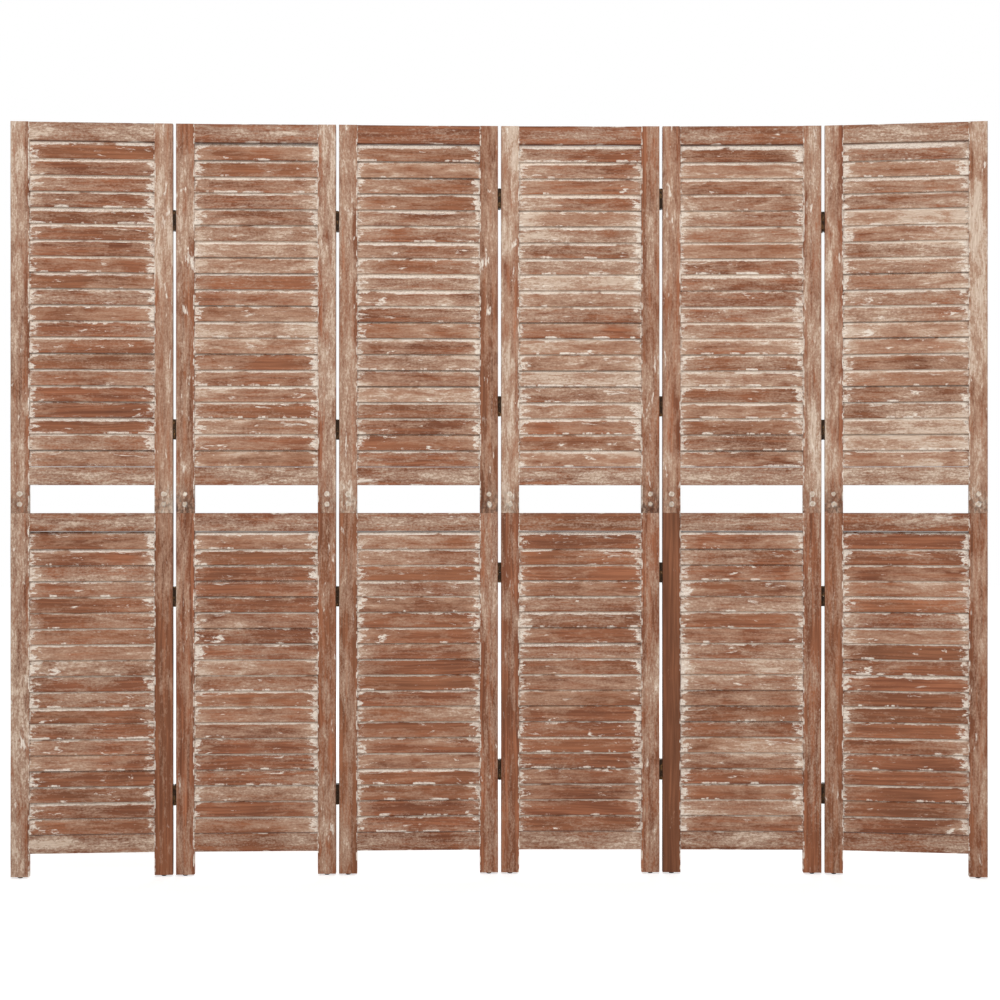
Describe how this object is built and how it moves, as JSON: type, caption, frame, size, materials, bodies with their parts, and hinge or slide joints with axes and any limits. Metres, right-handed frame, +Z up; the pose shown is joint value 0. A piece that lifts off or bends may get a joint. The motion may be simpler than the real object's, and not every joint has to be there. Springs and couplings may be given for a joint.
{
  "type": "folding room divider",
  "caption": "Free-standing folding screen of louvred wooden panels, each a taller frame over a lower one, joined by hinges that fold both ways.",
  "frame": {"origin": "middle of the screen's footprint, on the floor", "axes": "+Z up; +X to the right along the screen; the front faces -Y"},
  "size_m": [2.131, 0.0782, 1.65],
  "materials": {
    "stile_wood": "distressed, cream wash over reddish brown",
    "rail_wood": "distressed, cream wash over reddish brown",
    "slat_wood": "distressed, cream wash over reddish brown",
    "hinge_bronze": "dark antique bronze",
    "screw_steel": "dull, partly filled with wash",
    "glide_plastic": "matt"
  },
  "bodies": {
    "panel_1": {"panel_1_glides": "glide_plastic", "panel_1_hinge_leaves": "hinge_bronze", "panel_1_lower_slats": "slat_wood", "panel_1_lower_stiles": "stile_wood", "panel_1_rails": "rail_wood", "panel_1_screws": "screw_steel", "panel_1_upper_slats": "slat_wood", "panel_1_upper_stiles": "stile_wood"},
    "panel_2": {"panel_2_glides": "glide_plastic", "panel_2_hinge_leaves": "hinge_bronze", "panel_2_lower_slats": "slat_wood", "panel_2_lower_stiles": "stile_wood", "panel_2_rails": "rail_wood", "panel_2_screws": "screw_steel", "panel_2_upper_slats": "slat_wood", "panel_2_upper_stiles": "stile_wood"},
    "panel_3": {"panel_3_glides": "glide_plastic", "panel_3_hinge_leaves": "hinge_bronze", "panel_3_lower_slats": "slat_wood", "panel_3_lower_stiles": "stile_wood", "panel_3_rails": "rail_wood", "panel_3_screws": "screw_steel", "panel_3_upper_slats": "slat_wood", "panel_3_upper_stiles": "stile_wood"},
    "panel_4": {"panel_4_glides": "glide_plastic", "panel_4_hinge_leaves": "hinge_bronze", "panel_4_lower_slats": "slat_wood", "panel_4_lower_stiles": "stile_wood", "panel_4_rails": "rail_wood", "panel_4_screws": "screw_steel", "panel_4_upper_slats": "slat_wood", "panel_4_upper_stiles": "stile_wood"},
    "panel_5": {"panel_5_glides": "glide_plastic", "panel_5_hinge_leaves": "hinge_bronze", "panel_5_lower_slats": "slat_wood", "panel_5_lower_stiles": "stile_wood", "panel_5_rails": "rail_wood", "panel_5_screws": "screw_steel", "panel_5_upper_slats": "slat_wood", "panel_5_upper_stiles": "stile_wood"},
    "panel_6": {"panel_6_glides": "glide_plastic", "panel_6_hinge_leaves": "hinge_bronze", "panel_6_lower_slats": "slat_wood", "panel_6_lower_stiles": "stile_wood", "panel_6_rails": "rail_wood", "panel_6_screws": "screw_steel", "panel_6_upper_slats": "slat_wood", "panel_6_upper_stiles": "stile_wood"},
    "hinge_1_upper_links": {"hinge_1_upper_links": "hinge_bronze"},
    "hinge_1_lower_links": {"hinge_1_lower_links": "hinge_bronze"},
    "hinge_2_upper_links": {"hinge_2_upper_links": "hinge_bronze"},
    "hinge_2_lower_links": {"hinge_2_lower_links": "hinge_bronze"},
    "hinge_3_upper_links": {"hinge_3_upper_links": "hinge_bronze"},
    "hinge_3_lower_links": {"hinge_3_lower_links": "hinge_bronze"},
    "hinge_4_upper_links": {"hinge_4_upper_links": "hinge_bronze"},
    "hinge_4_lower_links": {"hinge_4_lower_links": "hinge_bronze"},
    "hinge_5_upper_links": {"hinge_5_upper_links": "hinge_bronze"},
    "hinge_5_lower_links": {"hinge_5_lower_links": "hinge_bronze"}
  },
  "joints": [
    {"name": "line_1_back_fold", "type": "hinge", "parent": "panel_2", "child": "hinge_1_upper_links", "pos_m": [-0.71263, 0.00819, 0.825], "axis": [0, 0, 1], "range_deg": [-178, 0]},
    {"name": "line_1_front_fold", "type": "hinge", "parent": "hinge_1_upper_links", "child": "panel_1", "pos_m": [-0.71195, -0.01259, 0.825], "axis": [0, 0, 1], "range_deg": [-2.5, 172.5]},
    {"name": "line_1_lower_link_turn", "type": "hinge", "parent": "panel_2", "child": "hinge_1_lower_links", "pos_m": [-0.71195, -0.01259, 0.825], "axis": [0, 0, 1], "range_deg": [-2.5, 172.5]},
    {"name": "line_2_back_fold", "type": "hinge", "parent": "panel_3", "child": "hinge_2_upper_links", "pos_m": [-0.35642, 0.01989, 0.825], "axis": [0, 0, -1], "range_deg": [-0.5, 177.5]},
    {"name": "line_2_front_fold", "type": "hinge", "parent": "hinge_2_upper_links", "child": "panel_2", "pos_m": [-0.35574, -0.0009, 0.825], "axis": [0, 0, -1], "range_deg": [-175, 0]},
    {"name": "line_2_lower_link_turn", "type": "hinge", "parent": "panel_3", "child": "hinge_2_lower_links", "pos_m": [-0.35556, -0.00089, 0.825], "axis": [0, 0, -1], "range_deg": [-175, 0]},
    {"name": "line_3_front_fold", "type": "hinge", "parent": "panel_3", "child": "hinge_3_upper_links", "pos_m": [0.00053, 0.01391, 0.825], "axis": [0, 0, -1], "range_deg": [-2, 173]},
    {"name": "line_3_back_fold", "type": "hinge", "parent": "hinge_3_upper_links", "child": "panel_4", "pos_m": [0.0004, 0.0347, 0.825], "axis": [0, 0, -1], "range_deg": [-178, 0]},
    {"name": "line_3_lower_link_turn", "type": "hinge", "parent": "panel_4", "child": "hinge_3_lower_links", "pos_m": [0.00053, 0.01391, 0.825], "axis": [0, 0, 1], "range_deg": [-2, 173]},
    {"name": "line_4_front_fold", "type": "hinge", "parent": "panel_4", "child": "hinge_4_upper_links", "pos_m": [0.35693, 0.01627, 0.825], "axis": [0, 0, 1], "range_deg": [-173.5, 1.5]},
    {"name": "line_4_back_fold", "type": "hinge", "parent": "hinge_4_upper_links", "child": "panel_5", "pos_m": [0.35733, 0.03707, 0.825], "axis": [0, 0, 1], "range_deg": [0, 178]},
    {"name": "line_4_lower_link_turn", "type": "hinge", "parent": "panel_5", "child": "hinge_4_lower_links", "pos_m": [0.35693, 0.01627, 0.825], "axis": [0, 0, -1], "range_deg": [-173.5, 1.5]},
    {"name": "line_5_front_fold", "type": "hinge", "parent": "panel_5", "child": "hinge_5_upper_links", "pos_m": [0.71326, 0.0093, 0.825], "axis": [0, 0, -1], "range_deg": [-7, 168]},
    {"name": "line_5_back_fold", "type": "hinge", "parent": "hinge_5_upper_links", "child": "panel_6", "pos_m": [0.7162, 0.02989, 0.825], "axis": [0, 0, -1], "range_deg": [-178, 0]},
    {"name": "line_5_lower_link_turn", "type": "hinge", "parent": "panel_6", "child": "hinge_5_lower_links", "pos_m": [0.71326, 0.0093, 0.825], "axis": [0, 0, 1], "range_deg": [-7, 168]}
  ],
  "couplings": [
    {"joint": "line_1_lower_link_turn", "follows": "line_1_front_fold", "ratio": 1},
    {"joint": "line_2_lower_link_turn", "follows": "line_2_front_fold", "ratio": 1},
    {"joint": "line_3_lower_link_turn", "follows": "line_3_front_fold", "ratio": 1},
    {"joint": "line_4_lower_link_turn", "follows": "line_4_front_fold", "ratio": 1},
    {"joint": "line_5_lower_link_turn", "follows": "line_5_front_fold", "ratio": 1}
  ]
}
